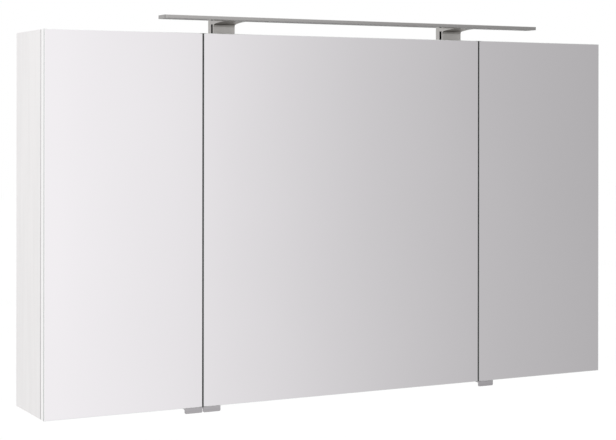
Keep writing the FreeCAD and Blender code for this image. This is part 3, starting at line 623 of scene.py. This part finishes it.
def fit_screws():
    """Screws in the hinges, pulls, brackets and hangers, as one piece for each body."""
    screw = model_screw()
    on_carcass = bracket_screws() + hanger_screws()
    for bay in into_door:
        in_ears, in_plates = hinge_screws(bay)
        on_carcass += in_plates
        set_copies(screw, "door_screws_" + bay, "door_" + bay, "nickel_steel", in_ears + pull_screws(bay))
    set_copies(screw, "carcass_screws", "carcass", "nickel_steel", on_carcass)
    bpy.data.objects.remove(screw)


def fit_covers():
    """Covers over the cam fittings: outside on the top and bottom, and inside on the partitions."""
    cover = model_cover()
    end_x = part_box("top_panel")[1].x - cam_from_end
    partition_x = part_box("partition_right")[1].x
    low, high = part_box("side_panel_left")
    cam_y = high.y - cam_from_wall
    places = []
    for side in (-1, 1):
        for level, way in ((low.z, -up), (high.z, up)):
            places.append((Vector((side * end_x, cam_y, level)), way, 1.0))
        for level in (low.z + cam_from_level, high.z - cam_from_level):
            places.append((Vector((side * partition_x, cam_y, level)), east * side, 1.0))
    set_copies(cover, "cam_covers", "carcass", "white_plastic", places)
    bpy.data.objects.remove(cover)


def fit_marks():
    """An on mark on the rocker's upper face and an off mark on its lower face, both plain signs."""
    joints = frame["record"]["behaviour"]["joints"]
    axle = next(Vector(joint["pos_m"]) for joint in joints if joint["name"] == "rocker_tip")
    tilt = Matrix.Rotation(rocker_tilt, 3, "X")
    marks = (("rocker_on_mark", model_on_mark(), 1), ("rocker_off_mark", model_off_mark(), -1))
    for name, model, side in marks:
        point = axle + tilt @ Vector((0, -mark_from_axle, side * mark_from_middle))
        way = tilt @ Vector((0, -math.cos(rocker_lean), -side * math.sin(rocker_lean)))
        set_copies(model, name, "rocker_switch", "white_plastic", [(point, way, 1.0)])
        bpy.data.objects.remove(model)


# Room, lights and camera

def make_room():
    """White for the camera and soft white light, and a studio of greys that only reflections show."""
    world = bpy.data.worlds.new("studio")
    bpy.context.scene.world = world
    world.use_nodes = True
    tree = world.node_tree
    tree.nodes.clear()
    way = add_node(tree, "ShaderNodeTexCoord").outputs["Generated"]
    axes = add_node(tree, "ShaderNodeSeparateXYZ", inputs={"Vector": way}).outputs
    ahead = add_node(tree, "ShaderNodeMath", {"operation": "MULTIPLY"}, {0: axes["Y"], 1: -1.0}).outputs[0]
    bearing = add_node(tree, "ShaderNodeMath", {"operation": "ARCTAN2"}, {0: axes["X"], 1: ahead}).outputs[0]
    turn = add_node(tree, "ShaderNodeMapRange",
                    inputs={"Value": bearing, "From Min": -math.pi, "From Max": math.pi}).outputs["Result"]
    wall = add_node(tree, "ShaderNodeValToRGB", inputs={"Fac": turn})
    stops = wall.color_ramp.elements
    for place, (degrees, grey) in enumerate(wall_greys):
        stop = stops[place] if place < len(stops) else stops.new(1.0)
        stop.position = 0.5 + degrees / 360
        stop.color = linear(grey)
    seen = wall.outputs["Color"]
    levels = ((wall_foot, linear(floor_grey), seen), (wall_head, seen, linear(white)))
    for (low, high), under, over in levels:
        share = add_node(tree, "ShaderNodeMapRange", smooth,
                         {"Value": axes["Z"], "From Min": low, "From Max": high}).outputs["Result"]
        seen = add_node(tree, "ShaderNodeMix", tint, {0: share, 6: under, 7: over}).outputs[2]

    rays = add_node(tree, "ShaderNodeLightPath").outputs
    clear = add_node(tree, "ShaderNodeMath", {"operation": "MAXIMUM"},
                     {0: rays["Is Camera Ray"], 1: rays["Is Transmission Ray"]}).outputs[0]
    mirrored = add_node(tree, "ShaderNodeMix", tint,
                        {0: rays["Is Glossy Ray"], 6: linear(white), 7: seen}).outputs[2]
    colour = add_node(tree, "ShaderNodeMix", tint, {0: clear, 6: mirrored, 7: linear(white)}).outputs[2]
    direct = add_node(tree, "ShaderNodeMath", {"operation": "MAXIMUM"},
                      {0: clear, 1: rays["Is Glossy Ray"]}).outputs[0]
    strength = add_node(tree, "ShaderNodeMapRange",
                        inputs={"Value": direct, "To Min": soft_light}).outputs["Result"]
    light = add_node(tree, "ShaderNodeBackground", inputs={"Color": colour, "Strength": strength})
    add_node(tree, "ShaderNodeOutputWorld", inputs={"Surface": light.outputs["Background"]})


def make_floor():
    """A pale matt floor that takes the cabinet's soft shadow and isn't mirrored."""
    bpy.ops.object.select_all(action="DESELECT")
    bpy.ops.mesh.primitive_plane_add(size=floor_reach, location=(0, 0, -floor_below))
    floor = bpy.context.object
    floor.name = "pale_floor"
    material, tree, shader = new_finish("pale_matt_floor", Roughness=0.9)
    shader.inputs["Emission Color"].default_value = linear(white)
    colour = mottle(tree, grain(tree, [floor_patch] * 3), "#FCFCFC", white)
    tree.links.new(colour, shader.inputs["Base Color"])
    camera_ray = add_node(tree, "ShaderNodeLightPath").outputs["Is Camera Ray"]
    glow = add_node(tree, "ShaderNodeMapRange", inputs={"Value": camera_ray, "To Max": floor_glow})
    tree.links.new(glow.outputs["Result"], shader.inputs["Emission Strength"])
    floor.data.materials.append(material)
    floor.visible_glossy = False


def make_key_light():
    """A softbox in front, above and to the left, which isn't mirrored."""
    key = bpy.data.lights.new("key_softbox", "AREA")
    key.energy = key_power
    key.size = key_size
    holder = bpy.data.objects.new("key_softbox", key)
    holder.location = key_place
    holder.rotation_euler = (key_aim - key_place).to_track_quat("-Z", "Y").to_euler()
    holder.visible_glossy = False
    bpy.context.scene.collection.objects.link(holder)


def make_camera():
    """The photograph's view."""
    data = bpy.data.cameras.new("camera")
    data.sensor_fit = "HORIZONTAL"
    data.sensor_width = sensor_width
    data.lens = focal_pixels * sensor_width / frame_width_pixels
    data.shift_y = -lens_shift_pixels / frame_width_pixels
    camera = bpy.data.objects.new("camera", data)
    turn = (Matrix.Rotation(-camera_yaw, 4, "Z") @ Matrix.Rotation(math.pi / 2, 4, "X")
            @ Matrix.Rotation(camera_roll, 4, "Z"))
    camera.matrix_world = Matrix.Translation(camera_place) @ turn
    bpy.context.scene.collection.objects.link(camera)
    bpy.context.scene.camera = camera


finish_nodes()
fit_screws()
fit_covers()
fit_marks()
make_room()
make_floor()
make_key_light()
make_camera()
bpy.context.scene.view_settings.view_transform = "Standard"
